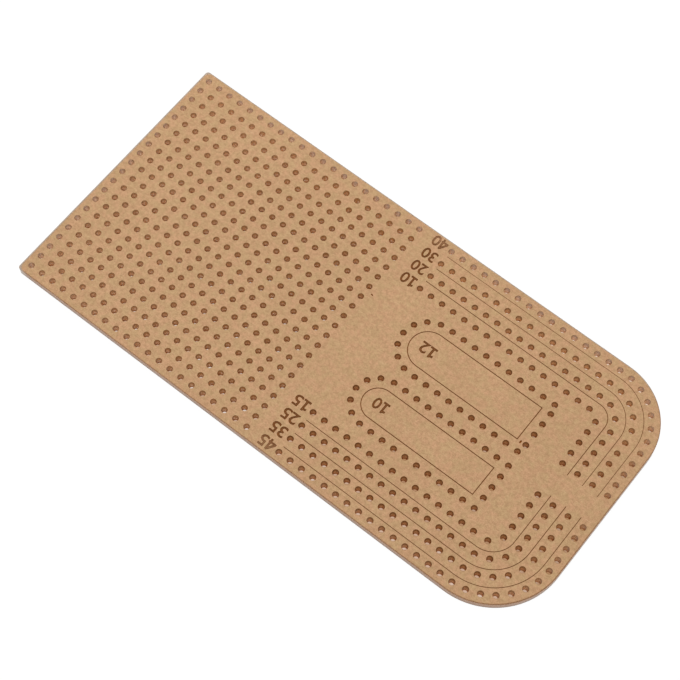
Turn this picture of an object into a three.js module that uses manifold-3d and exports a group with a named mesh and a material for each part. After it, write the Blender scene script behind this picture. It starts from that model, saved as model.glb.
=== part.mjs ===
// Leather marking template, laser cut from clear acrylic that still has its kraft masking paper.
//
// All lengths are in millimetres. The plate lies flat on its back paper, with +Z up. +X points to the
// square end with the grid of holes, and -X to the end with the two round corners. +Y points to the
// side with the larger round corner. The origin is under the middle of the plate.

import * as THREE from 'three';
import { mergeGeometries, mergeVertices } from 'three/addons/utils/BufferGeometryUtils.js';
import Module from 'manifold-3d';

// Sheet
const plateLength = 176.1;
const plateWidth = 85.7;
const plateThickness = 3;
const paperThickness = 0.1;
const upperCornerRadius = 22.5; // the corner of the guide marked 45
const lowerCornerRadius = 20; // the corner of the guide marked 40

// Holes, which take a scratch awl
const holeDiameter = 1.9;
const edgeToHole = 2.7; // from an edge of the plate to the nearest hole centres

// Grid of holes at the square end
const gridPitch = 4;
const gridLength = 80; // between the first and the last column of holes
const labelStrip = 11.8; // bare strip between the grid and the guides, for their numbers

// Corner guides: rows of holes that run along a long edge, round its corner and along the round end
const guidesPerCorner = 4;
const guideStep = 5.1; // between neighbouring guides
const guidePitch = 4;
const endHoles = 5; // holes of a guide along the round end
const upperEndStart = 21.7; // from the upper long edge to the first of those holes
const lowerEndStart = 20.2; // from the lower long edge to the first of those holes

// Strap tongues: scored outlines with a round nose and a row of holes round them
const wideTongueWidth = 12;
const wideTongueY = -10.65;
const narrowTongueWidth = 10;
const narrowTongueY = 11.4;
const tongueLength = 41.6;
const noseSetback = 7.8; // from the first guide hole to the nose of a tongue
const tongueToHole = 3; // from a scored outline to the hole centres round it
const tonguePitch = 4;
const scoreWidth = 0.3; // kerf of the laser through the front paper

// Facets
const holeSides = 3;
const holeTurn = Math.PI / 22; // keeps the facets of neighbouring holes out of line
const cornerSegments = 6;
const noseSegments = 6;

const endX = plateLength / 2;
const edgeY = plateWidth / 2;
const guideStartX = endX - edgeToHole - gridLength - labelStrip;
const noseX = guideStartX - noseSetback;

const upperCorner = { side: 1, radius: upperCornerRadius, endStart: upperEndStart };
const lowerCorner = { side: -1, radius: lowerCornerRadius, endStart: lowerEndStart };
const wideTongue = { width: wideTongueWidth, y: wideTongueY };
const narrowTongue = { width: narrowTongueWidth, y: narrowTongueY };

const clearAcrylic = new THREE.MeshStandardMaterial({
  color: 0xcfd3cc, roughness: 0.1, metalness: 0, transparent: true, opacity: 0.6,
});
const kraftPaper = new THREE.MeshStandardMaterial({ color: 0xbe9872, roughness: 0.85, metalness: 0 });

const wasm = await Module();
wasm.setup();

// Square corners at the grid end, one round corner of its own size at each side of the other end.
function plateOutline() {
  const outline = new THREE.Shape();
  outline.moveTo(endX, edgeY);
  outline.lineTo(-endX + upperCornerRadius, edgeY);
  outline.absarc(-endX + upperCornerRadius, edgeY - upperCornerRadius, upperCornerRadius,
    Math.PI / 2, Math.PI, false);
  outline.absarc(-endX + lowerCornerRadius, -edgeY + lowerCornerRadius, lowerCornerRadius,
    Math.PI, 1.5 * Math.PI, false);
  outline.lineTo(endX, -edgeY);
  return outline;
}

// A tongue's outline, made larger all round by offset: a half circle at the nose, square at the tail.
function tongueOutline({ width, y }, offset) {
  const radius = width / 2 + offset;
  const outline = new THREE.Shape();
  outline.absarc(noseX - width / 2, y, radius, -Math.PI / 2, Math.PI / 2, false);
  outline.lineTo(noseX - tongueLength - offset, y + radius);
  outline.lineTo(noseX - tongueLength - offset, y - radius);
  return outline;
}

function gridHoles() {
  const columns = Math.floor(gridLength / gridPitch) + 1;
  const rows = Math.floor((plateWidth - 2 * edgeToHole) / gridPitch) + 1;
  const holes = [];
  for (let column = 0; column < columns; column += 1) {
    for (let row = 0; row < rows; row += 1) {
      const x = endX - edgeToHole - column * gridPitch;
      const y = -edgeY + edgeToHole + row * gridPitch;
      holes.push(new THREE.Vector2(x, y));
    }
  }
  return holes;
}

// The line that the hole centres of one guide lie on, at one distance from the edge of the plate.
function guideLine({ side, radius, endStart }, inset) {
  const centreX = -endX + radius;
  const centreY = side * (edgeY - radius);
  const bend = radius - inset;
  const line = new THREE.Path();
  line.moveTo(guideStartX, centreY + side * bend);
  line.lineTo(centreX, centreY + side * bend);
  line.absarc(centreX, centreY, bend, side * Math.PI / 2, side * Math.PI, side < 0);
  line.lineTo(centreX - bend, side * (edgeY - endStart - endHoles * guidePitch));
  return line;
}

// Holes along one guide: an even pitch on the row and on the end, and the stretch between them, which
// is the bend, divided evenly. The innermost bend is too tight to start a pitch before it.
function guideHoles(corner, guide) {
  const inset = edgeToHole + guide * guideStep;
  const line = guideLine(corner, inset);
  const length = line.getLength();
  const straight = guideStartX + endX - corner.radius;
  const bendLength = (corner.radius - inset) * Math.PI / 2;
  const innermost = guide === guidesPerCorner - 1;
  const rowSpaces = Math.ceil(straight / guidePitch) - (innermost ? 1 : 0);
  const rowEnd = rowSpaces * guidePitch;
  const endStart = straight + bendLength + corner.endStart - corner.radius;
  const bendSpaces = Math.floor((endStart - rowEnd) / guidePitch);

  const distances = [];
  for (let hole = 0; hole <= rowSpaces; hole += 1) {
    distances.push(hole * guidePitch);
  }
  for (let hole = 1; hole < bendSpaces; hole += 1) {
    distances.push(rowEnd + (endStart - rowEnd) * hole / bendSpaces);
  }
  for (let hole = 0; hole < endHoles; hole += 1) {
    distances.push(endStart + hole * guidePitch);
  }
  return distances.map((distance) => line.getPoint(distance / length));
}

function cornerHoles(corner) {
  const holes = [];
  for (let guide = 0; guide < guidesPerCorner; guide += 1) {
    holes.push(...guideHoles(corner, guide));
  }
  return holes;
}

// Holes round a tongue: a pitch counted both ways from the nose, and a column across the tail.
function tongueHoles({ width, y }) {
  const radius = width / 2 + tongueToHole;
  const centreX = noseX - width / 2;
  const tailX = noseX - tongueLength - tongueToHole;
  const line = new THREE.Path();
  line.moveTo(tailX, y - radius);
  line.lineTo(centreX, y - radius);
  line.absarc(centreX, y, radius, -Math.PI / 2, Math.PI / 2, false);
  line.lineTo(tailX, y + radius);
  const length = line.getLength();
  const spaces = Math.floor(length / 2 / tonguePitch);

  const holes = [];
  for (let hole = -spaces; hole <= spaces; hole += 1) {
    holes.push(line.getPoint(0.5 + hole * tonguePitch / length));
  }
  const tailHoles = Math.ceil(2 * radius / tonguePitch) - 1;
  for (let hole = 0; hole < tailHoles; hole += 1) {
    holes.push(new THREE.Vector2(tailX, y + (hole - (tailHoles - 1) / 2) * tonguePitch));
  }
  return holes;
}

function extrude(outline, height, segments) {
  return new THREE.ExtrudeGeometry(outline, {
    depth: height, bevelEnabled: false, curveSegments: segments,
  });
}

function toSolid(geometry) {
  const bare = geometry.clone();
  bare.deleteAttribute('normal');
  bare.deleteAttribute('uv');
  const merged = mergeVertices(bare, 1e-4);
  return new wasm.Manifold(new wasm.Mesh({
    numProp: 3,
    vertProperties: new Float32Array(merged.attributes.position.array),
    triVerts: new Uint32Array(merged.index.array),
  }));
}

function toGeometry(solid) {
  const { vertProperties, triVerts } = solid.getMesh();
  const geometry = new THREE.BufferGeometry();
  geometry.setAttribute('position', new THREE.BufferAttribute(vertProperties, 3));
  geometry.setIndex(new THREE.BufferAttribute(triVerts, 1));
  return geometry;
}

// One prism for each hole. It has the area of the round hole and stands out of both faces of the sheet.
function holePunches(holes, thickness) {
  const roundArea = Math.PI * (holeDiameter / 2) ** 2;
  const unitArea = holeSides / 2 * Math.sin(2 * Math.PI / holeSides);
  const radius = Math.sqrt(roundArea / unitArea);
  const punch = new THREE.CylinderGeometry(radius, radius, 3 * thickness, holeSides);
  punch.rotateX(Math.PI / 2).rotateZ(holeTurn);
  return mergeGeometries(holes.map(({ x, y }) => punch.clone().translate(x, y, thickness / 2)));
}

function perforated(sheet, holes, thickness) {
  return toGeometry(toSolid(sheet).subtract(toSolid(holePunches(holes, thickness))));
}

function piece(name, geometry, material, bottom) {
  const mesh = new THREE.Mesh(geometry, material);
  mesh.name = name;
  mesh.position.z = bottom;
  return mesh;
}

const guideAndTongueHoles = [
  ...cornerHoles(upperCorner),
  ...cornerHoles(lowerCorner),
  ...tongueHoles(wideTongue),
  ...tongueHoles(narrowTongue),
];
const allHoles = [...gridHoles(), ...guideAndTongueHoles];

function acrylicPlate() {
  const sheet = extrude(plateOutline(), plateThickness, cornerSegments);
  return perforated(sheet, allHoles, plateThickness);
}

// The front paper has a window for each loose tongue. It is a soft sheet that the plate backs, so it
// has the holes of the guides, and the plate alone has those of the grid as well.
function frontMaskingPaper() {
  const outline = plateOutline();
  for (const tongue of [wideTongue, narrowTongue]) {
    outline.holes.push(tongueOutline(tongue, scoreWidth / 2));
  }
  const sheet = extrude(outline, paperThickness, cornerSegments);
  return perforated(sheet, guideAndTongueHoles, paperThickness);
}

function backMaskingPaper() {
  return extrude(plateOutline(), paperThickness, cornerSegments);
}

function tonguePaper(tongue) {
  return extrude(tongueOutline(tongue, -scoreWidth / 2), paperThickness, noseSegments);
}

const plateTop = paperThickness + plateThickness;

const template = new THREE.Group();
template.name = 'leather_marking_template';
template.add(
  piece('back_masking_paper', backMaskingPaper(), kraftPaper, 0),
  piece('acrylic_plate', acrylicPlate(), clearAcrylic, paperThickness),
  piece('front_masking_paper', frontMaskingPaper(), kraftPaper, plateTop),
  piece('tongue_12_paper', tonguePaper(wideTongue), kraftPaper, plateTop),
  piece('tongue_10_paper', tonguePaper(narrowTongue), kraftPaper, plateTop),
);

export default template;
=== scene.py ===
import math

import bmesh
import bpy
from bmesh.types import BMEdge, BMFace, BMVert
from mathutils import Matrix, Vector


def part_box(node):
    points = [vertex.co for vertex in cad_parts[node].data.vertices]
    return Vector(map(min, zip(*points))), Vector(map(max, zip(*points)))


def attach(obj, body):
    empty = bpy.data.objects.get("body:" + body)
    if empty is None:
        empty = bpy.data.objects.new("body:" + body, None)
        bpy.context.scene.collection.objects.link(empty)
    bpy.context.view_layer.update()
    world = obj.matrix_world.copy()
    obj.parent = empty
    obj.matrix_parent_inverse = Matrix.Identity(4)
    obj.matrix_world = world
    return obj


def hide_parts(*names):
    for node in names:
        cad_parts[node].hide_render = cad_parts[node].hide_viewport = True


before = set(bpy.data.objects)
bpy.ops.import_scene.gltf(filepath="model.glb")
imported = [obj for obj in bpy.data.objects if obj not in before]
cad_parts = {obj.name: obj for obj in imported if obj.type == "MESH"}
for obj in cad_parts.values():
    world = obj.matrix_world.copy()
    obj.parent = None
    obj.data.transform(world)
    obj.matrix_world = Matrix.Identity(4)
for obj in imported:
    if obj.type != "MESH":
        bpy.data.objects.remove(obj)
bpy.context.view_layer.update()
print("frame loaded:", ", ".join(sorted(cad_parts)))


# camera, at the photograph's angle

photoCamera = dict(
    location=(-0.12868, 0.19464, 0.50925),
    looksAlong=(0.23375, -0.34505, -0.90901),
    upwards=(0.57140, -0.70767, 0.41556),
    lens=103.38,
    sensor=36.0,
    clip=(0.05, 10),
)


def makeCamera(values):
    data = bpy.data.cameras.new("camera")
    data.lens, data.sensor_width = values["lens"], values["sensor"]
    data.clip_start, data.clip_end = values["clip"]
    camera = bpy.data.objects.new("camera", data)
    ahead = Vector(values["looksAlong"]).normalized()
    right = ahead.cross(Vector(values["upwards"])).normalized()
    turn = Matrix((right, right.cross(ahead), -ahead)).transposed().to_4x4()
    camera.matrix_world = Matrix.Translation(values["location"]) @ turn
    bpy.context.collection.objects.link(camera)
    bpy.context.scene.camera = camera


makeCamera(photoCamera)
print("camera placed")


# layout of the template, in millimetres on the plate: +X to the grid end, +Y to the larger corner

mm = 0.001
plateLow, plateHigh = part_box("acrylic_plate")
halfLength = plateHigh[0] / mm
halfWidth = plateHigh[1] / mm

template = dict(
    holeRadius=0.95,
    holeSides=16,
    edgeToHole=2.7,
    gridPitch=4.0,
    gridLength=80.0,
    labelStrip=11.8,  # bare strip between the grid and the guides, for the numbers
    guides=4,  # beside each long edge
    guideStep=5.1,
    guidePitch=4.0,
    endHoles=5,  # holes of a guide along the round end
    noseSetback=7.8,  # from the first hole of a guide to the noses of the tongues
    tongueLength=41.6,
    tongueToHole=3.0,
    tonguePitch=4.0,
    kerf=0.16,  # width of the scored line round a tongue
    scoreDepth=0.12,  # how deep the lines go into the acrylic
    lineToHole=3.0,  # from a scored guide line to the holes inside it
    lineOverrun=2.0,  # how far it runs past the last hole
    squareCorner=1.0,  # the beam rounds the square corners a little
    cornerSteps=24,
    bendSteps=18,
    noseSteps=14,
)
# kerfs are the widths of the scored guide lines, and labels the guides' numbers, the outermost first
corners = [
    dict(
        side=1, radius=22.5, endStart=21.7,
        kerfs=(0.09, 0.1, 0.1), labels=("45", "35", "25", "15"),
    ),
    dict(
        side=-1, radius=20.0, endStart=20.2,
        kerfs=(0.05, 0.07, 0.11), labels=("40", "30", "20", "10"),
    ),
]
wideTongue = dict(width=12.0, y=-10.65, label="12", node="tongue_12_paper")
narrowTongue = dict(width=10.0, y=11.4, label="10", node="tongue_10_paper")
tongues = [wideTongue, narrowTongue]

guideStart = halfLength - template["edgeToHole"] - template["gridLength"] - template["labelStrip"]
noseX = guideStart - template["noseSetback"]
tailX = noseX - template["tongueLength"]


def gridHoles():
    pitch = template["gridPitch"]
    columns = int(template["gridLength"] / pitch) + 1
    rows = int((2 * halfWidth - 2 * template["edgeToHole"]) / pitch) + 1
    firstX = halfLength - template["edgeToHole"]
    firstY = -halfWidth + template["edgeToHole"]
    return [(firstX - i * pitch, firstY + j * pitch) for i in range(columns) for j in range(rows)]


def guideLengths(corner, inset):
    # the straight row, its bend, and both of them as far as the first hole on the round end
    straight = guideStart + halfLength - corner["radius"]
    bend = (corner["radius"] - inset) * math.pi / 2
    return straight, bend, straight + bend + corner["endStart"] - corner["radius"]


def alongGuide(corner, inset, distance):
    side, radius = corner["side"], corner["radius"] - inset
    centreX = -halfLength + corner["radius"]
    centreY = side * (halfWidth - corner["radius"])
    straight, bend, _ = guideLengths(corner, inset)
    if distance <= straight:
        return guideStart - distance, centreY + side * radius
    if distance <= straight + bend:
        turn = (distance - straight) / radius
        return centreX - radius * math.sin(turn), centreY + side * radius * math.cos(turn)
    return centreX - radius, centreY - side * (distance - straight - bend)


def guideHoles(corner, guide):
    # an even pitch on the row and on the round end, and the stretch between them divided evenly
    pitch = template["guidePitch"]
    inset = template["edgeToHole"] + guide * template["guideStep"]
    straight, _, endStart = guideLengths(corner, inset)
    innermost = guide == template["guides"] - 1
    rowSpaces = math.ceil(straight / pitch) - (1 if innermost else 0)
    rowEnd = rowSpaces * pitch
    bendSpaces = int((endStart - rowEnd) / pitch)
    distances = [i * pitch for i in range(rowSpaces + 1)]
    distances += [rowEnd + (endStart - rowEnd) * i / bendSpaces for i in range(1, bendSpaces)]
    distances += [endStart + i * pitch for i in range(template["endHoles"])]
    return [alongGuide(corner, inset, distance) for distance in distances]


def alongTongue(tongue, distance):
    # distance is counted both ways from the middle of the nose
    radius = tongue["width"] / 2 + template["tongueToHole"]
    centreX = noseX - tongue["width"] / 2
    turn = distance / radius
    if abs(turn) <= math.pi / 2:
        return centreX + radius * math.cos(turn), tongue["y"] + radius * math.sin(turn)
    side = math.copysign(1, distance)
    return centreX - abs(distance) + radius * math.pi / 2, tongue["y"] + side * radius


def tongueHoles(tongue):
    pitch = template["tonguePitch"]
    radius = tongue["width"] / 2 + template["tongueToHole"]
    tail = tailX - template["tongueToHole"]
    halfLine = radius * math.pi / 2 + noseX - tongue["width"] / 2 - tail
    spaces = int(halfLine / pitch)
    holes = [alongTongue(tongue, i * pitch) for i in range(-spaces, spaces + 1)]
    across = math.ceil(2 * radius / pitch) - 1
    return holes + [(tail, tongue["y"] + (i - (across - 1) / 2) * pitch) for i in range(across)]


holes = gridHoles()
for corner in corners:
    for guide in range(template["guides"]):
        holes += guideHoles(corner, guide)
for tongue in tongues:
    holes += tongueHoles(tongue)
print("layout:", len(holes), "holes")


# sheets, drawn flat in millimetres, filled round their cuts and then given a thickness

sheets = dict(
    edgeLean=0.25,  # how far the side towards the 45 corner leans in at the plate's foot
    leanReach=0.75,  # points nearer than this to that edge lean in with it
    weld=0.001,
    upright=0.5,  # a face whose normal has less Z than this is a wall
    sharpAngle=40,  # in degrees
)
# how much the laser browned the papers
browning = dict(
    rim=0.1,  # width of the scorched rim round a cut
    edge=0.22,  # width of the fainter browning along the edge of the plate
    edgeInside=0.28,  # how brown it is on its inner side
    edgeOutside=0.45,
    engraved=0.7,  # the paper left inside the strokes of a number
    drift=0.5,  # share of the smoke that reached the edges, at the middle of the plate
    driftToSide=0.75,  # more of it towards the edge by the 45 corner
    driftToEnd=0.5,  # and towards the round end
    leastDrift=0.15,
    mostDrift=1.3,
    gridRims=0.2,  # the rims of the grid's holes
    sideFade=0.6,  # what the other rims lose towards the 40 corner
    sideFadeFrom=10,
    sideFadeOver=40,
    endFade=0.35,  # and at the round end
    endFadeFrom=-70,
    endFadeOver=10,
)
burns = dict(
    sides=8,
    spots=[
        dict(place=(-57.1, -4.55), size=(0.5, 1.0), turn=0),
        dict(place=(3.08, -14.52), size=(0.75, 0.32), turn=-13),
    ],
)


def newSheet():
    bm = bmesh.new()
    bm.verts.layers.int.new("hole")
    bm.verts.layers.int.new("outermost")
    bm.verts.layers.float.new("scorch")
    bm.verts.layers.float.new("daylight")
    return bm


def only(kinds, parts):
    return [part for part in parts if isinstance(part, kinds)]


def eachOnce(parts):
    # in the order in which they come, which a set doesn't keep from run to run
    return list(dict.fromkeys(parts))


def keepOutline(bm, faces):
    # keeps the edges round these faces and removes what is inside
    inside = set(faces)
    edges = eachOnce(edge for face in faces for edge in face.edges)
    inner = [edge for edge in edges if len(edge.link_faces) > 1 and inside.issuperset(edge.link_faces)]
    bmesh.ops.delete(bm, geom=list(faces), context="FACES_ONLY")
    bmesh.ops.delete(bm, geom=inner, context="EDGES")
    return [edge for edge in edges if edge.is_valid]


def bordersOf(faces):
    edges = eachOnce(edge for face in faces for edge in face.edges)
    return [edge for edge in edges if len(edge.link_faces) == 1]


def roundedFace(bm, low, high, roundings, segments):
    # roundings gives a radius for a corner, named by whether it is on the high side in X and Y
    known = set(bm.faces)
    square = bmesh.ops.create_grid(bm, x_segments=1, y_segments=1, size=0.5)["verts"]
    bmesh.ops.scale(bm, vec=(high[0] - low[0], high[1] - low[1], 1), verts=square)
    middle = ((low[0] + high[0]) / 2, (low[1] + high[1]) / 2, 0)
    bmesh.ops.translate(bm, vec=middle, verts=square)
    for vert in square:
        where = (vert.co.x > middle[0], vert.co.y > middle[1])
        if where in roundings:
            bmesh.ops.bevel(
                bm, geom=[vert], offset=roundings[where], offset_type="OFFSET", affect="VERTICES",
                segments=segments, profile=0.5, material=-1, clamp_overlap=False,
            )
    made = [face for face in bm.faces if face not in known]
    points = [vert for face in made for vert in face.verts]
    bmesh.ops.remove_doubles(bm, verts=points, dist=sheets["weld"])
    return [face for face in bm.faces if face not in known]


def plateFace(bm, inset=0.0, rounder=0.0):
    low = (-halfLength + inset, -halfWidth + inset)
    high = (halfLength - inset, halfWidth - inset)
    roundings = {
        (False, True): corners[0]["radius"] - inset,
        (False, False): corners[1]["radius"] - inset,
        (True, True): template["squareCorner"] - inset + rounder,
        (True, False): template["squareCorner"] - inset + rounder,
    }
    return roundedFace(bm, low, high, roundings, template["cornerSteps"])


def tongueFace(bm, tongue, grow):
    radius = tongue["width"] / 2 + grow
    low = (tailX - grow, tongue["y"] - radius)
    high = (noseX + grow, tongue["y"] + radius)
    roundings = {(True, True): radius, (True, False): radius}
    return roundedFace(bm, low, high, roundings, template["noseSteps"])


def guideBand(bm, corner, guide):
    # the scored line just outside one guide's holes, as a strip of faces
    known = set(bm.faces)
    side = corner["side"]
    inset = template["edgeToHole"] + guide * template["guideStep"] - template["lineToHole"]
    radius = corner["radius"] - inset
    centre = Vector((-halfLength + corner["radius"], side * (halfWidth - corner["radius"]), 0))
    halfKerf = corner["kerfs"][guide - 1] / 2
    start = centre.y + side * radius
    ends = [bm.verts.new((guideStart, start + shift, 0)) for shift in (-halfKerf, halfKerf)]

    last = bmesh.ops.extrude_edge_only(bm, edges=[bm.edges.new(ends)])["geom"]
    bmesh.ops.translate(bm, vec=(centre.x - guideStart, 0, 0), verts=only(BMVert, last))
    last = bmesh.ops.spin(
        bm, geom=only((BMVert, BMEdge), last), cent=centre, axis=(0, 0, 1),
        angle=side * math.pi / 2, steps=template["bendSteps"], use_duplicate=False,
    )["geom_last"]
    last = bmesh.ops.extrude_edge_only(bm, edges=only(BMEdge, last))["geom"]
    lastHole = corner["endStart"] + (template["endHoles"] - 1) * template["guidePitch"]
    reach = lastHole + template["lineOverrun"] - corner["radius"]
    bmesh.ops.translate(bm, vec=(0, -side * reach, 0), verts=only(BMVert, last))
    return [face for face in bm.faces if face not in known]


def burnFace(bm, burn):
    # a short mark where the beam stood still
    known = set(bm.faces)
    turn = Matrix.Rotation(math.radians(burn["turn"]), 4, "Z")
    where = Matrix.Translation((*burn["place"], 0)) @ turn @ Matrix.Diagonal((*burn["size"], 1, 1))
    bmesh.ops.create_circle(bm, cap_ends=True, segments=burns["sides"], radius=0.5, matrix=where)
    return [face for face in bm.faces if face not in known]


def punch(bm):
    hole = bm.verts.layers.int["hole"]
    edges = []
    for number, (x, y) in enumerate(holes, 1):
        ring = bmesh.ops.create_circle(
            bm, cap_ends=False, segments=template["holeSides"], radius=template["holeRadius"],
            matrix=Matrix.Translation((x, y, 0)),
        )["verts"]
        for vert in ring:
            vert[hole] = number
            edges += vert.link_edges
    return eachOnce(edges)


def fillBetween(bm, edges):
    made = bmesh.ops.triangle_fill(bm, use_beauty=True, use_dissolve=False, edges=edges, normal=(0, 0, 1))
    return only(BMFace, made["geom"])


def edgeDistance(x, y):
    # from a point of the plate to the nearest part of its edge
    nearest = min(halfLength - abs(x), halfWidth - abs(y))
    for corner in corners:
        centreX = -halfLength + corner["radius"]
        centreY = corner["side"] * (halfWidth - corner["radius"])
        if x < centreX and corner["side"] * (y - centreY) > 0:
            nearest = min(nearest, corner["radius"] - math.hypot(x - centreX, y - centreY))
    return nearest


def leanIn(vert):
    # moves a vertex at the foot of the plate's edge
    if vert.co.y > 0 and edgeDistance(vert.co.x, vert.co.y) < sheets["leanReach"]:
        vert.co.y -= sheets["edgeLean"] * vert.co.y / halfWidth


def smokeDrift(vert):
    # the smoke drifted to two edges of the plate, so the other two are hardly browned
    towardsSide = browning["driftToSide"] * vert.co.y / halfWidth
    towardsGrid = browning["driftToEnd"] * vert.co.x / halfLength
    drift = browning["drift"] + towardsSide - towardsGrid
    return min(browning["mostDrift"], max(browning["leastDrift"], drift))


def holeScorch(vert):
    # the rims of the holes are scorched less in the grid, towards the 40 corner and at the round end
    if vert.co.x > guideStart + template["labelStrip"] / 2:
        return browning["gridRims"]
    across = min(1, max(0, (browning["sideFadeFrom"] - vert.co.y) / browning["sideFadeOver"]))
    endwise = min(1, max(0, (browning["endFadeFrom"] - vert.co.x) / browning["endFadeOver"]))
    return 1 - browning["sideFade"] * across - browning["endFade"] * endwise


def scorchRims(bm, faces):
    # a narrow ring of faces round every cut, with the scorch fading out across it
    scorch, hole = bm.verts.layers.float["scorch"], bm.verts.layers.int["hole"]
    outermost = bm.verts.layers.int["outermost"]
    for edge in bordersOf(faces):
        for vert in edge.verts:
            vert[scorch] = holeScorch(vert) if vert[hole] else 1
            if vert[outermost]:
                vert[scorch] = browning["edgeOutside"] * smokeDrift(vert)
    rims = bmesh.ops.inset_region(
        bm, faces=faces, use_boundary=True, use_even_offset=True, thickness=browning["rim"], depth=0
    )["faces"]
    for vert in eachOnce(vert for face in faces for vert in face.verts):
        vert[scorch] = browning["edgeInside"] * smokeDrift(vert) if vert[outermost] else 0
    return faces + rims


def brownedEdge(bm, burntBack, rounder, move):
    # a ring of faces along the edge of the plate, and the outline inside it
    inside = plateFace(bm, burntBack, rounder)
    for vert in bm.verts:
        move(vert)
    ring = bmesh.ops.inset_region(
        bm, faces=inside, use_boundary=True, use_even_offset=True, thickness=browning["edge"]
    )["faces"]
    outermost = bm.verts.layers.int["outermost"]
    for edge in bordersOf(ring):
        for vert in edge.verts:
            vert[outermost] = 1
    return ring, keepOutline(bm, inside)


def thicken(bm, faces, depth):
    made = bmesh.ops.extrude_face_region(bm, geom=faces)["geom"]
    bmesh.ops.translate(bm, vec=(0, 0, -depth), verts=only(BMVert, made))
    bmesh.ops.recalc_face_normals(bm, faces=bm.faces[:])


def finishSheet(bm, name, top, replaced, materials):
    for face in bm.faces:
        face.smooth = abs(face.normal.z) < sheets["upright"]
    for edge in bm.edges:
        edge.smooth = edge.is_manifold and edge.calc_face_angle(0) < math.radians(sheets["sharpAngle"])
    bmesh.ops.scale(bm, vec=(mm, mm, mm), verts=bm.verts[:])
    bmesh.ops.translate(bm, vec=(0, 0, top), verts=bm.verts[:])
    mesh = bpy.data.meshes.new(name)
    bm.to_mesh(mesh)
    bm.free()
    piece = bpy.data.objects.new(name, mesh)
    bpy.context.collection.objects.link(piece)
    for material in materials:
        mesh.materials.append(material)
    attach(piece, "root")
    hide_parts(replaced)
    mesh.calc_loop_triangles()
    print(name, "has", len(mesh.loop_triangles), "triangles")


# numbers, engraved as the outlines of their strokes

numbers = dict(
    height=3.5,
    fontSize=5.0,  # gives the font's digits that height
    curveSteps=3,
    widen=1.12,
    step=2.6,  # between the two digits of a number
    tensWiden=1.0,  # the same for the numbers that end in 0
    tensStep=2.42,
    bolder=0.03,
    line=0.13,  # width of the line scored along the inside of a stroke's outline
    guideX=-2.07,  # middle of the number at the start of each guide
    drop=0.18,  # how far it sits below its row of holes
    tongueX=-19.97,  # middle of the number at the nose of each tongue
    smallestCounter=0.15,  # in square millimetres, below which no paper is left in a counter
    tipReach=1.5,  # how far up from its foot points are merged, in widths of the line
    tipMerge=1.1,  # and how near to each other they are
)
# the built-in font has no foot on the 1 and a small counter in the 4
drawnDigits = {
    "1": [[
        (-0.96, 0), (0.96, 0), (0.96, 0.48), (0.26, 0.48), (0.26, 3.5), (-0.1, 3.5),
        (-0.3, 3.18), (-0.94, 2.98), (-0.94, 2.5), (-0.22, 2.64), (-0.22, 0.48), (-0.96, 0.48),
    ]],
    "4": [
        [
            (0.31, 0), (0.76, 0), (0.76, 0.74), (0.98, 0.74), (0.98, 1.18), (0.76, 1.18),
            (0.76, 3.5), (0.25, 3.5), (-1.16, 1.22), (-1.16, 0.74), (0.31, 0.74),
        ],
        [(0.31, 1.18), (-0.62, 1.18), (0.31, 2.7)],
    ],
}


def digitMesh(digit, grow):
    if digit in drawnDigits:
        data = bpy.data.curves.new("digit", "CURVE")
        data.dimensions = "2D"
        data.fill_mode = "BOTH"
        for outline in drawnDigits[digit]:
            line = data.splines.new("POLY")
            line.points.add(len(outline) - 1)
            for point, place in zip(line.points, outline):
                point.co = (*place, 0, 1)
            line.use_cyclic_u = True
    else:
        data = bpy.data.curves.new("digit", "FONT")
        data.body, data.size = digit, numbers["fontSize"]
        data.align_x = "CENTER"
        data.resolution_u = numbers["curveSteps"]
    data.offset = grow
    digitObject = bpy.data.objects.new("digit", data)
    bpy.context.collection.objects.link(digitObject)
    bpy.context.view_layer.update()
    evaluated = digitObject.evaluated_get(bpy.context.evaluated_depsgraph_get())
    mesh = bpy.data.meshes.new_from_object(evaluated)
    bpy.data.objects.remove(digitObject)
    bpy.data.curves.remove(data)
    return mesh


def addNumber(bm, text, centre, grow):
    known = set(bm.verts)
    foot = centre[1] - numbers["height"] / 2
    tens = text[-1] == "0"
    step = numbers["tensStep"] if tens else numbers["step"]
    widen = numbers["tensWiden"] if tens else numbers["widen"]
    for place, digit in enumerate(text):
        mesh = digitMesh(digit, grow)
        shift = Vector((centre[0] + (place - 0.5) * step, foot, 0))
        mesh.transform(Matrix.Translation(shift) @ Matrix.Diagonal((widen, 1, 1, 1)))
        bm.from_mesh(mesh)
        bpy.data.meshes.remove(mesh)
    if grow < 0:
        # the offset turns the short edge at the tip of the 2 inside out
        top = foot - numbers["tipReach"] * grow
        low = [vert for vert in bm.verts if vert not in known and vert.co.y < top]
        bmesh.ops.remove_doubles(bm, verts=low, dist=-numbers["tipMerge"] * grow)
    return [face for face in bm.faces if face.verts[0] not in known]


def strokeEdges(bm, text, centre):
    # what the laser cuts round the strokes of a number, without the counters that are too small
    waiting = keepOutline(bm, addNumber(bm, text, centre, numbers["bolder"]))
    kept = []
    while waiting:
        loop = [waiting.pop()]
        start, vert = loop[0].verts
        area = start.co.cross(vert.co).z / 2
        while vert is not start:
            edge = next(edge for edge in vert.link_edges if edge in waiting)
            waiting.remove(edge)
            loop.append(edge)
            area += vert.co.cross(edge.other_vert(vert).co).z / 2
            vert = edge.other_vert(vert)
        if abs(area) > numbers["smallestCounter"]:
            kept += loop
        else:
            counter = eachOnce(vert for edge in loop for vert in edge.verts)
            bmesh.ops.delete(bm, geom=counter, context="VERTS")
    return kept


def strokeCore(bm, text, centre):
    # the thread of paper left inside the strokes of a number, browned all over
    scorch = bm.verts.layers.float["scorch"]
    core = addNumber(bm, text, centre, -numbers["line"])
    for face in core:
        for vert in face.verts:
            vert[scorch] = browning["engraved"]
    return core


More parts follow.
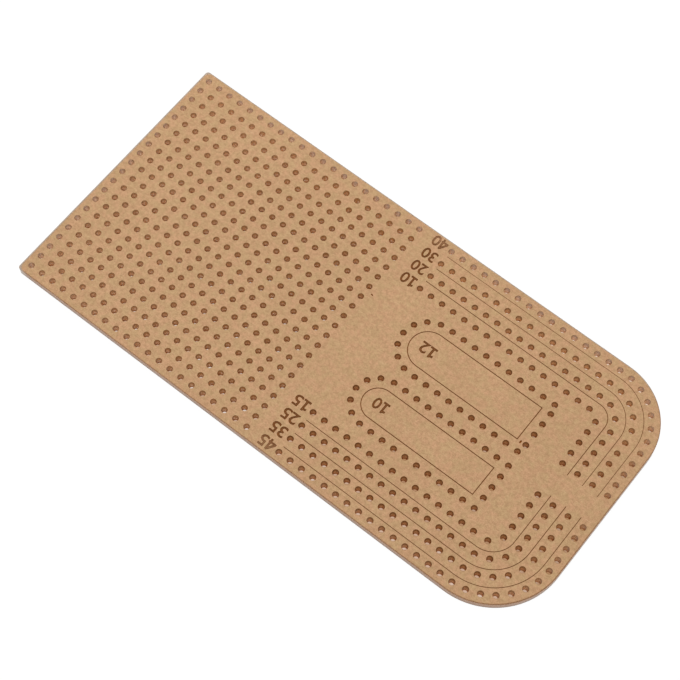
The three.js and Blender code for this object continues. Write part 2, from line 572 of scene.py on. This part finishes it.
def guideNumbers():
    placed = []
    for corner in corners:
        for guide, text in enumerate(corner["labels"]):
            row = halfWidth - template["edgeToHole"] - guide * template["guideStep"]
            placed.append((text, (numbers["guideX"], corner["side"] * row - numbers["drop"])))
    return placed


def tongueNumber(tongue):
    return tongue["label"], (numbers["tongueX"], tongue["y"])


# shaders, written as sums on sockets


class Signal:
    def __init__(self, shader, socket):
        self.shader, self.socket = shader, socket

    def maths(self, operation, *others):
        inputs = dict(enumerate((self, *others)))
        return self.shader.node("ShaderNodeMath", dict(operation=operation), inputs)

    def __add__(self, other):
        return self.maths("ADD", other)

    def __mul__(self, other):
        return self.maths("MULTIPLY", other)

    def __sub__(self, other):
        return self.maths("SUBTRACT", other)

    def __rsub__(self, other):
        return self.shader.node("ShaderNodeMath", dict(operation="SUBTRACT"), {0: other, 1: self})

    __radd__ = __add__
    __rmul__ = __mul__

    def above(self, low, high):
        # 0 below low, 1 above high, smooth between them
        settings = dict(interpolation_type="SMOOTHSTEP")
        inputs = {"Value": self, "From Min": low, "From Max": high}
        return self.shader.node("ShaderNodeMapRange", settings, inputs)

    def below(self, low, high):
        # 1 below low, 0 above high, smooth between them
        return 1 - self.above(low, high)


class Shader:
    def __init__(self, owner):
        # the owner is a material or a world
        owner.use_nodes = True
        self.owner, self.tree = owner, owner.node_tree
        self.tree.nodes.clear()

    def node(self, kind, settings=None, inputs=None, output=0):
        made = self.tree.nodes.new(kind)
        for key, value in (settings or {}).items():
            setattr(made, key, value)
        for key, value in (inputs or {}).items():
            if isinstance(value, Signal):
                self.tree.links.new(value.socket, made.inputs[key])
            else:
                made.inputs[key].default_value = value
        return Signal(self, made.outputs[output]) if made.outputs else None

    def place(self):
        # the place on the object in millimetres
        where = self.node("ShaderNodeTexCoord", output="Object")
        return self.node("ShaderNodeVectorMath", dict(operation="SCALE"), {0: where, "Scale": 1 / mm})

    def attribute(self, name):
        return self.node("ShaderNodeAttribute", dict(attribute_name=name), output="Fac")

    def axis(self, vector, name):
        return self.node("ShaderNodeSeparateXYZ", inputs={0: vector}, output=name)

    def noise(self, place, scale, detail=2.0, rough=0.5):
        inputs = {"Vector": place, "Scale": scale, "Detail": detail, "Roughness": rough}
        return self.node("ShaderNodeTexNoise", inputs=inputs)

    def stretched(self, place, scale, degrees=0):
        inputs = {"Vector": place, "Rotation": (0, 0, math.radians(degrees)), "Scale": scale}
        return self.node("ShaderNodeMapping", inputs=inputs)

    def blend(self, factor, first, second):
        settings = dict(data_type="RGBA")
        return self.node("ShaderNodeMix", settings, {0: factor, 6: first, 7: second}, output=2)

    def bump(self, height, distance):
        return self.node("ShaderNodeBump", inputs={"Height": height, "Distance": distance})

    def seen(self):
        # 1 for rays that show the background: from the camera, off metal and through glass
        names = ("Is Camera Ray", "Is Glossy Ray", "Is Transmission Ray")
        camera, glossy, passing = (self.node("ShaderNodeLightPath", output=name) for name in names)
        return camera.maths("MAXIMUM", glossy).maths("MAXIMUM", passing)

    def surface(self, values):
        return self.output("ShaderNodeOutputMaterial", self.node("ShaderNodeBsdfPrincipled", inputs=values))

    def output(self, kind, made):
        self.node(kind, inputs={0: made})
        return self.owner


# a noise is its scale, detail and roughness, and a range is where a mask starts and is full
kraft = dict(
    rosy=(0.629, 0.363, 0.206, 1),
    olive=(0.575, 0.38, 0.197, 1),
    dark=(0.36, 0.208, 0.104, 1),
    pale=(0.68, 0.45, 0.265, 1),
    scorched=(0.17, 0.058, 0.014, 1),
    cloudNoise=(0.3, 4.0, 0.65),
    cloudRange=(0.36, 0.64),
    broadNoise=(0.07, 2.0),
    broadRange=(0.35, 0.65),
    broadShare=0.1,
    mottleNoise=(0.9, 4.0, 0.75),
    mottleRange=(0.36, 0.66),
    mottleShare=0.42,
    grainNoise=(3.2, 3.0, 0.6),
    grainRange=(0.3, 0.7),
    grainShare=0.42,
    fibreNoise=(1.1, 2.0),
    alongStretch=((0.35, 4.5, 1), 12),  # of the pale fibres, with their turn in degrees
    alongRange=(0.58, 0.72),
    alongShare=0.3,
    acrossStretch=((0.4, 4.2, 1), -55),  # of the dark shreds
    acrossRange=(0.6, 0.74),
    acrossShare=0.28,
    speckNoise=(2.1, 0.0),
    speckRange=(0.74, 0.8),
    speckShare=0.35,
    scorchRange=(0.0, 0.85),
    edgeRange=(37, 41),  # from the middle of the plate to its long edges, where the scorch is paler
    edgeShare=0.25,
    roughness=0.72,
    specular=0.09,
    bump=0.00002,
)


def kraftPaper():
    shader = Shader(bpy.data.materials.new("kraftPaper"))
    place = shader.place()
    cloud = shader.noise(place, *kraft["cloudNoise"]).above(*kraft["cloudRange"])
    mottle = shader.noise(place, *kraft["mottleNoise"]).above(*kraft["mottleRange"])
    grain = shader.noise(place, *kraft["grainNoise"])
    along = shader.noise(shader.stretched(place, *kraft["alongStretch"]), *kraft["fibreNoise"])
    across = shader.noise(shader.stretched(place, *kraft["acrossStretch"]), *kraft["fibreNoise"])
    fibres = along.above(*kraft["alongRange"])
    shreds = across.above(*kraft["acrossRange"])
    specks = shader.noise(place, *kraft["speckNoise"]).above(*kraft["speckRange"])
    broad = shader.noise(place, *kraft["broadNoise"]).above(*kraft["broadRange"])
    fine = grain.above(*kraft["grainRange"])
    colour = shader.blend(cloud, kraft["rosy"], kraft["olive"])
    colour = shader.blend(broad * kraft["broadShare"], colour, kraft["dark"])
    colour = shader.blend(mottle * kraft["mottleShare"] + fine * kraft["grainShare"], colour, kraft["dark"])
    colour = shader.blend(fibres * kraft["alongShare"], colour, kraft["pale"])
    colour = shader.blend(shreds * kraft["acrossShare"] + specks * kraft["speckShare"], colour, kraft["dark"])
    scorch = shader.attribute("scorch")
    nearEdge = shader.axis(place, "Y").maths("ABSOLUTE").above(*kraft["edgeRange"])
    smoke = scorch * (0.8 + 0.4 * grain) * (1 - kraft["edgeShare"] * nearEdge)
    colour = shader.blend(smoke.above(*kraft["scorchRange"]), colour, kraft["scorched"])
    height = grain * 0.5 + along * 0.6 + across * 0.4 - scorch * 0.6
    return shader.surface({
        "Base Color": colour,
        "Roughness": kraft["roughness"] + 0.14 * grain - 0.1 * fibres,
        "Specular IOR Level": kraft["specular"],
        "Normal": shader.bump(height, kraft["bump"]),
    })


acrylic = dict(
    tint=(0.43, 0.245, 0.14, 1),
    smoke=(0.24, 0.11, 0.05, 1),
    foot=(0.29, 0.17, 0.105, 1),
    paleEdge=(0.52, 0.44, 0.36, 1),  # painted sheen, paler along the two far edges where the bare acrylic top shows
    paleEnd=(84, 87.5),
    paleSide=(-42, -38),
    footRange=(0.3, 1.3),
    smokeRange=(2.5, 3.0),
    smokeShare=0.3,
    cutNoise=(2.6, 3.0, 0.6),  # upright marks of the laser
    cutStretch=(1, 1, 0.06),
    cutRange=(0.5, 0.75),
    cutShare=0.2,
    roughness=0.28,
    rougher=0.2,  # where the acrylic is stained
    clear=0.04,  # share of the light that goes through
    bending=1.49,
    specular=0.06,
    bump=0.000015,
)


def clearAcrylic():
    shader = Shader(bpy.data.materials.new("clearAcrylic"))
    place = shader.place()
    height = shader.axis(place, "Z")
    cut = shader.noise(shader.stretched(place, acrylic["cutStretch"]), *acrylic["cutNoise"])
    smoked = height.above(*acrylic["smokeRange"]) * acrylic["smokeShare"]
    stain = smoked + cut.above(*acrylic["cutRange"]) * acrylic["cutShare"]
    edge = shader.blend(height.above(*acrylic["footRange"]), acrylic["foot"], acrylic["tint"])
    # painted sheen: the edge is paler towards the grid end and the 40 corner's edge
    paleEnd = shader.axis(place, "X").above(*acrylic["paleEnd"])
    paleSide = shader.axis(place, "Y").below(*acrylic["paleSide"])
    edge = shader.blend(paleEnd + paleSide, edge, acrylic["paleEdge"])
    return shader.surface({
        "Base Color": shader.blend(stain, edge, acrylic["smoke"]),
        "Roughness": acrylic["roughness"] + acrylic["rougher"] * stain,
        "IOR": acrylic["bending"],
        "Specular IOR Level": acrylic["specular"],
        "Transmission Weight": acrylic["clear"],
        "Normal": shader.bump(cut, acrylic["bump"]),
    })


# the walls of the holes: smoke stains, with painted light, painted shade and painted glints on them
smokedWall = dict(
    top=(0.22, 0.085, 0.024, 1),
    deep=(0.64, 0.33, 0.13, 1),  # where the acrylic round the hole is covered by paper on both sides
    paler=(0.8, 0.51, 0.26, 1),  # painted light: paler towards the 40 corner's edge and the round end
    grid=(0.69, 0.38, 0.16, 1),  # between the close-set holes of the grid
    gridEnd=(0.79, 0.49, 0.26, 1),
    # painted highlights
    glint=(1, 0.86, 0.7, 1),
    lit=(0.82, 0.64, 0.5, 1),  # painted light near the edge of the plate
    gridRange=(guideStart + 2, guideStart + 4),
    gridEndRange=(20, 75),
    sideRange=(-44, -10),
    roundEndRange=(-88, -70),
    sootNoise=(2.4, 3.0, 0.6),
    sootRange=(0.42, 0.68),
    rimRange=(1.9, 3.2),
    footRange=(0.2, 0.8),
    glintNoise=(3.1, 1.0),
    glintRange=(0.5, 0.62),
    glintFoot=(0.3, 0.9),
    glintTop=(1.6, 2.2),
    roughness=0.55,
    rougher=0.25,
    specular=0.0,
    bump=0.00004,
)


def smokedAcrylic():
    shader = Shader(bpy.data.materials.new("smokedAcrylic"))
    place = shader.place()
    height = shader.axis(place, "Z")
    daylight = shader.attribute("daylight")
    inGrid = shader.axis(place, "X").above(*smokedWall["gridRange"])
    towardsSide = shader.axis(place, "Y").below(*smokedWall["sideRange"])
    towardsEnd = shader.axis(place, "X").below(*smokedWall["roundEndRange"])
    towardsGridEnd = shader.axis(place, "X").above(*smokedWall["gridEndRange"])
    # painted light: the walls are paler towards the 40 corner's edge and the round end
    wall = shader.blend(towardsSide + 0.6 * towardsEnd, smokedWall["deep"], smokedWall["paler"])
    gridWall = shader.blend(towardsGridEnd, smokedWall["grid"], smokedWall["gridEnd"])
    wall = shader.blend(inGrid, wall, gridWall)
    # painted light: walls near the clear edge of the plate take the lit colour
    wall = shader.blend(daylight, wall, smokedWall["lit"])

    soot = shader.noise(place, *smokedWall["sootNoise"])
    stains = soot.above(*smokedWall["sootRange"]) * (0.3 + 0.25 * inGrid)
    wall = shader.blend(stains, wall, smokedWall["top"])
    # painted shade: the wall is darker towards its foot, less so where the painted light from the edge
    # reaches
    foot = height.below(*smokedWall["footRange"]) * (0.3 + 0.3 * inGrid)
    wall = shader.blend(foot * (1 - daylight), wall, smokedWall["top"])
    # painted glints: small bright spots on the middle of the walls, more of them in the grid
    middle = height.above(*smokedWall["glintFoot"]) * height.below(*smokedWall["glintTop"])
    glint = shader.noise(place, *smokedWall["glintNoise"]).above(*smokedWall["glintRange"])
    wall = shader.blend(glint * middle * (0.2 + 0.6 * inGrid), wall, smokedWall["glint"])
    # the top of the wall is darker: scorch at the cut and painted shade of the upper wall, less where the
    # painted light from the edge reaches
    rim = (height + soot * 0.5).above(*smokedWall["rimRange"])
    sootAndShade = 0.85 - 0.35 * inGrid - 0.35 * towardsEnd - 0.15 * towardsSide
    wall = shader.blend(rim * sootAndShade * (1 - 0.6 * daylight), wall, smokedWall["top"])
    return shader.surface({
        "Base Color": wall,
        "Roughness": smokedWall["roughness"] + smokedWall["rougher"] * soot,
        "Specular IOR Level": smokedWall["specular"],
        "Normal": shader.bump(soot, smokedWall["bump"]),
    })


scoredLine = dict(
    soot=(0.26, 0.08, 0.012, 1),
    bare=(0.4, 0.16, 0.045, 1),
    lit=(0.5, 0.27, 0.14, 1),  # painted light, in the numbers next to the long edges
    litRange=(37, 41),
    litShare=0.8,
    sootNoise=(1.6, 3.0, 0.6),
    sootRange=(0.5, 0.7),
    roughness=0.6,
    specular=0.0,
)


def scoredAcrylic():
    shader = Shader(bpy.data.materials.new("scoredAcrylic"))
    place = shader.place()
    soot = shader.noise(place, *scoredLine["sootNoise"]).above(*scoredLine["sootRange"])
    nearEdge = shader.axis(place, "Y").maths("ABSOLUTE").above(*scoredLine["litRange"])
    colour = shader.blend(soot, scoredLine["soot"], scoredLine["bare"])
    return shader.surface({
        "Base Color": shader.blend(nearEdge * scoredLine["litShare"], colour, scoredLine["lit"]),
        "Roughness": scoredLine["roughness"],
        "Specular IOR Level": scoredLine["specular"],
    })


paperMaterial = kraftPaper()
clearMaterial = clearAcrylic()
smokedMaterial = smokedAcrylic()
scoredMaterial = scoredAcrylic()
print("materials made")


# pieces

plate = dict(
    hairGap=0.003,  # keeps the acrylic's faces off the paper's
    daylightReach=0.9,  # how far the painted light from the edge of the plate reaches into the acrylic
    exitTaper=0.82,  # the holes are a little narrower where the laser leaves
)


def acrylicPlate():
    bm = newSheet()
    edges = keepOutline(bm, plateFace(bm)) + punch(bm)
    bands = []
    for corner in corners:
        for guide in range(1, template["guides"]):
            bands += guideBand(bm, corner, guide)
    for tongue in tongues:
        inside = tongueFace(bm, tongue, template["kerf"] / 2)
        bands += bmesh.ops.inset_region(
            bm, faces=inside, use_boundary=True, use_even_offset=True, thickness=template["kerf"]
        )["faces"]
        bmesh.ops.delete(bm, geom=inside, context="FACES_ONLY")
    for text, place in guideNumbers() + [tongueNumber(tongue) for tongue in tongues]:
        core = keepOutline(bm, addNumber(bm, text, place, -numbers["line"]))
        bands += fillBetween(bm, strokeEdges(bm, text, place) + core)
    for burn in burns["spots"]:
        bands += burnFace(bm, burn)
    faces = fillBetween(bm, edges + bordersOf(bands)) + bands
    thickness = (plateHigh[2] - plateLow[2]) / mm - 2 * plate["hairGap"]
    thicken(bm, faces, thickness)
    thicken(bm, bands, template["scoreDepth"])
    bmesh.ops.delete(bm, geom=bands, context="FACES")
    bmesh.ops.recalc_face_normals(bm, faces=bm.faces[:])

    hole = bm.verts.layers.int["hole"]
    daylight = bm.verts.layers.float["daylight"]
    # painted light: the walls of holes near the plate's edge are marked lighter, fading with distance from
    # the edge
    nearest = template["edgeToHole"] - template["holeRadius"]
    for vert in bm.verts:
        if vert[hole]:
            x, y = holes[vert[hole] - 1]
            beyond = edgeDistance(vert.co.x, vert.co.y) - nearest
            vert[daylight] = math.exp(-beyond / plate["daylightReach"])
            if vert.co.z < -thickness / 2:
                vert.co.x = x + (vert.co.x - x) * plate["exitTaper"]
                vert.co.y = y + (vert.co.y - y) * plate["exitTaper"]
        elif vert.co.z < -thickness / 2:
            leanIn(vert)
    for face in bm.faces:
        # the index is a place in the list of materials below
        wall = abs(face.normal.z) < sheets["upright"]
        inHole = all(vert[hole] for vert in face.verts)
        lowest = min(vert.co.z for vert in face.verts)
        scored = -thickness / 2 < lowest < -template["scoreDepth"] / 2
        face.material_index = 2 if scored else 1 if wall and inHole else 0
    finishSheet(
        bm, "acrylicPlate", plateHigh[2] - plate["hairGap"] * mm, "acrylic_plate",
        [clearMaterial, smokedMaterial, scoredMaterial],
    )


upperSheet = dict(
    burntBack=0.22,  # bare acrylic between the front paper and the edge of the plate
    burntFurther=(0.22, 0.1),  # and how much more at the grid end and by the 40 corner
    burntCorner=0.8,  # how much more its square corners are rounded than the plate's
)


def burnFurther(vert):
    # more of the front paper is burnt away along two edges of the plate
    atEnd, atSide = upperSheet["burntFurther"]
    vert.co.x -= atEnd * max(0, vert.co.x) / halfLength
    vert.co.y -= atSide * min(0, vert.co.y) / halfWidth


def frontPaper():
    bm = newSheet()
    ring, edges = brownedEdge(bm, upperSheet["burntBack"], upperSheet["burntCorner"], burnFurther)
    edges += punch(bm)
    for corner in corners:
        for guide in range(1, template["guides"]):
            edges += keepOutline(bm, guideBand(bm, corner, guide))
    for tongue in tongues:
        edges += keepOutline(bm, tongueFace(bm, tongue, template["kerf"] / 2))
    for text, place in guideNumbers():
        edges += strokeEdges(bm, text, place)
    for burn in burns["spots"]:
        edges += keepOutline(bm, burnFace(bm, burn))
    faces = scorchRims(bm, fillBetween(bm, edges) + ring)
    for text, place in guideNumbers():
        faces += strokeCore(bm, text, place)
    low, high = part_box("front_masking_paper")
    thicken(bm, faces, (high[2] - low[2]) / mm)
    finishSheet(bm, "frontPaper", high[2], "front_masking_paper", [paperMaterial])


def tonguePaper(tongue, name):
    bm = newSheet()
    edges = keepOutline(bm, tongueFace(bm, tongue, -template["kerf"] / 2))
    edges += strokeEdges(bm, *tongueNumber(tongue))
    faces = scorchRims(bm, fillBetween(bm, edges))
    faces += strokeCore(bm, *tongueNumber(tongue))
    low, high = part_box(tongue["node"])
    thicken(bm, faces, (high[2] - low[2]) / mm)
    finishSheet(bm, name, high[2], tongue["node"], [paperMaterial])


def backPaper():
    bm = newSheet()
    ring, edges = brownedEdge(bm, 0, 0, leanIn)
    faces = scorchRims(bm, fillBetween(bm, edges + punch(bm)) + ring)
    low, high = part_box("back_masking_paper")
    thicken(bm, faces, (high[2] - low[2]) / mm)
    finishSheet(bm, "backPaper", high[2], "back_masking_paper", [paperMaterial])


acrylicPlate()
frontPaper()
tonguePaper(wideTongue, "tongueTwelvePaper")
tonguePaper(narrowTongue, "tongueTenPaper")
backPaper()


# floor and light

studio = dict(
    floorSize=4.0,
    floorColour=(0.86, 0.86, 0.86, 1),
    white=(1, 1, 1, 1),
    whiteShare=0.9,
    whiteStrength=1.05,
    world=0.46,
    lamps=[
        dict(place=(0.2, -0.22, 0.45), size=0.3, power=1.3),
        dict(place=(-0.45, 0.7, 1.3), size=0.3, power=7.5),
    ],
)
# painted light: the floor under the plate glows, in place of the light that the clear acrylic carries under
# it and its papers colour
glow = dict(
    amber=(0.4, 0.21, 0.1, 1),  # what shines up a hole in the middle of the template
    rose=(0.63, 0.43, 0.32, 1),  # what shines up a hole near its edges
    pale=(0.86, 0.68, 0.56, 1),  # along the far edges, where more of the floor's light gets in
    gridRange=(-5, 15),
    upperSide=(18, 42),
    lowerSide=(-38, -16),
    gridEndRange=(10, 90),
    paleSide=(-41, -30),
    paleEnd=(82, 86.5),
    glintNoise=(0.37, 1.0),
    glintRange=(0.5, 0.62),
    strength=1.0,
)


def openFloor():
    shader = Shader(bpy.data.materials.new("openFloor"))
    plain = shader.node("ShaderNodeBsdfDiffuse", inputs={"Color": studio["floorColour"]})
    inputs = {"Color": studio["white"], "Strength": studio["whiteStrength"]}
    white = shader.node("ShaderNodeEmission", inputs=inputs)
    share = shader.seen() * studio["whiteShare"]
    mixed = shader.node("ShaderNodeMixShader", inputs={0: share, 1: plain, 2: white})
    return shader.output("ShaderNodeOutputMaterial", mixed)


def glowingFloorPatch():
    shader = Shader(bpy.data.materials.new("glowingFloorPatch"))
    place = shader.place()
    along, across = shader.axis(place, "X"), shader.axis(place, "Y")
    inGrid = along.above(*glow["gridRange"])
    outwards = across.above(*glow["upperSide"]) * (1 - 0.3 * inGrid) + across.below(*glow["lowerSide"])
    colour = shader.blend(outwards, glow["amber"], glow["rose"])
    colour = shader.blend(along.above(*glow["gridEndRange"]) * 0.4, colour, glow["rose"])
    farEdges = across.below(*glow["paleSide"]) + along.above(*glow["paleEnd"])
    colour = shader.blend(farEdges, colour, glow["pale"])
    # painted glints: white spots in the glow, seen through some holes
    glint = shader.noise(place, *glow["glintNoise"]).above(*glow["glintRange"])
    colour = shader.blend(glint * (0.12 + 0.3 * inGrid), colour, studio["white"])
    light = shader.node("ShaderNodeEmission", inputs={"Color": colour, "Strength": glow["strength"]})
    return shader.output("ShaderNodeOutputMaterial", light)


def softSky():
    shader = Shader(bpy.data.worlds.new("softSky"))
    strength = studio["world"] + shader.seen() * (1 - studio["world"])
    sky = shader.node("ShaderNodeBackground", inputs={"Color": studio["white"], "Strength": strength})
    return shader.output("ShaderNodeOutputWorld", sky)


def makeFloor():
    bm = newSheet()
    covered = plateFace(bm)
    for vert in bm.verts:
        leanIn(vert)
    half = studio["floorSize"] / mm / 2
    around = roundedFace(bm, (-half, -half), (half, half), {}, 1)
    fillBetween(bm, keepOutline(bm, around) + bordersOf(covered))
    for face in covered:
        face.material_index = 1
    bmesh.ops.scale(bm, vec=(mm, mm, mm), verts=bm.verts[:])
    mesh = bpy.data.meshes.new("floor")
    bm.to_mesh(mesh)
    bm.free()
    mesh.materials.append(openFloor())
    mesh.materials.append(glowingFloorPatch())
    floor = bpy.data.objects.new("floor", mesh)
    bpy.context.collection.objects.link(floor)


def makeLamps():
    for values in studio["lamps"]:
        light = bpy.data.lights.new("lamp", "AREA")
        light.shape, light.size, light.energy = "SQUARE", values["size"], values["power"]
        lamp = bpy.data.objects.new("lamp", light)
        lamp.location = values["place"]
        lamp.rotation_euler = (-lamp.location).to_track_quat("-Z", "Y").to_euler()
        bpy.context.collection.objects.link(lamp)


makeFloor()
makeLamps()
bpy.context.scene.world = softSky()
bpy.context.scene.view_settings.view_transform = "Standard"
print("floor and lights made")
